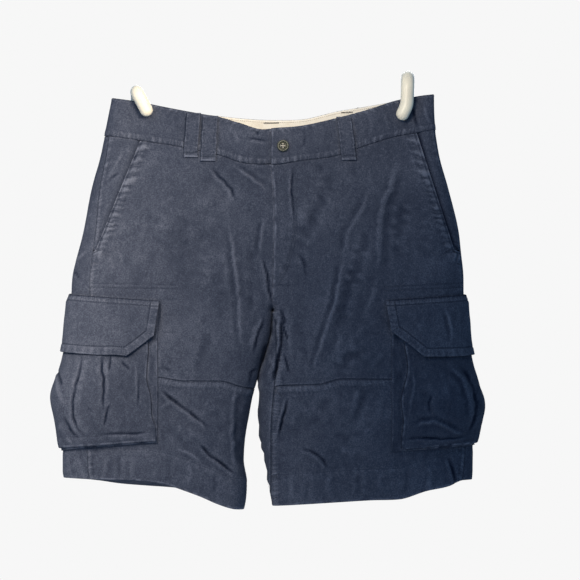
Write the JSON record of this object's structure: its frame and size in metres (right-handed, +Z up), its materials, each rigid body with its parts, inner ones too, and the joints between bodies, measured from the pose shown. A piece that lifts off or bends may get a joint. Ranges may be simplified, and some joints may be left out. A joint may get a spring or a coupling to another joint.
{
  "type": "cargo shorts hanging on two wall hooks",
  "caption": "Knee-length cotton cargo shorts with flapped thigh pockets and slanted front pockets, hanging flat by the waistband from round wall hooks.",
  "frame": {"origin": "in the wall's plane, midway between the two hooks' wall plates", "axes": "+Z up; -Y out of the wall, towards the wearer's front; +X to the wearer's left"},
  "size_m": [0.6248, 0.1057, 0.6366],
  "materials": {
    "navy_twill": "washed cotton twill, worn pale along its edges and seams",
    "cream_cotton": "plain cotton tape",
    "button": "dark antique bronze",
    "zip": "dull",
    "hook_paint": "satin cream paint"
  },
  "bodies": {
    "root": {"front_upper_right": "navy_twill", "front_lower_right": "navy_twill", "back_right": "navy_twill", "pocket_facing_right": "navy_twill", "waistband_right": "navy_twill", "cargo_bag_right": "navy_twill", "cargo_gusset_right": "navy_twill", "cargo_flap_right": "navy_twill", "front_upper_left": "navy_twill", "front_lower_left": "navy_twill", "back_left": "navy_twill", "pocket_facing_left": "navy_twill", "waistband_left": "navy_twill", "cargo_bag_left": "navy_twill", "cargo_gusset_left": "navy_twill", "cargo_flap_left": "navy_twill", "belt_loop_front_right_outer": "navy_twill", "belt_loop_front_right_inner": "navy_twill", "belt_loop_front_left": "navy_twill", "belt_loop_back_right": "navy_twill", "belt_loop_back_centre": "navy_twill", "belt_loop_back_left": "navy_twill", "waistband_lining": "cream_cotton", "button": "button", "fly_zip": "zip", "hook_right": "hook_paint", "hook_left": "hook_paint", "wall_plate_right": "hook_paint", "wall_plate_left": "hook_paint"}
  },
  "joints": []
}
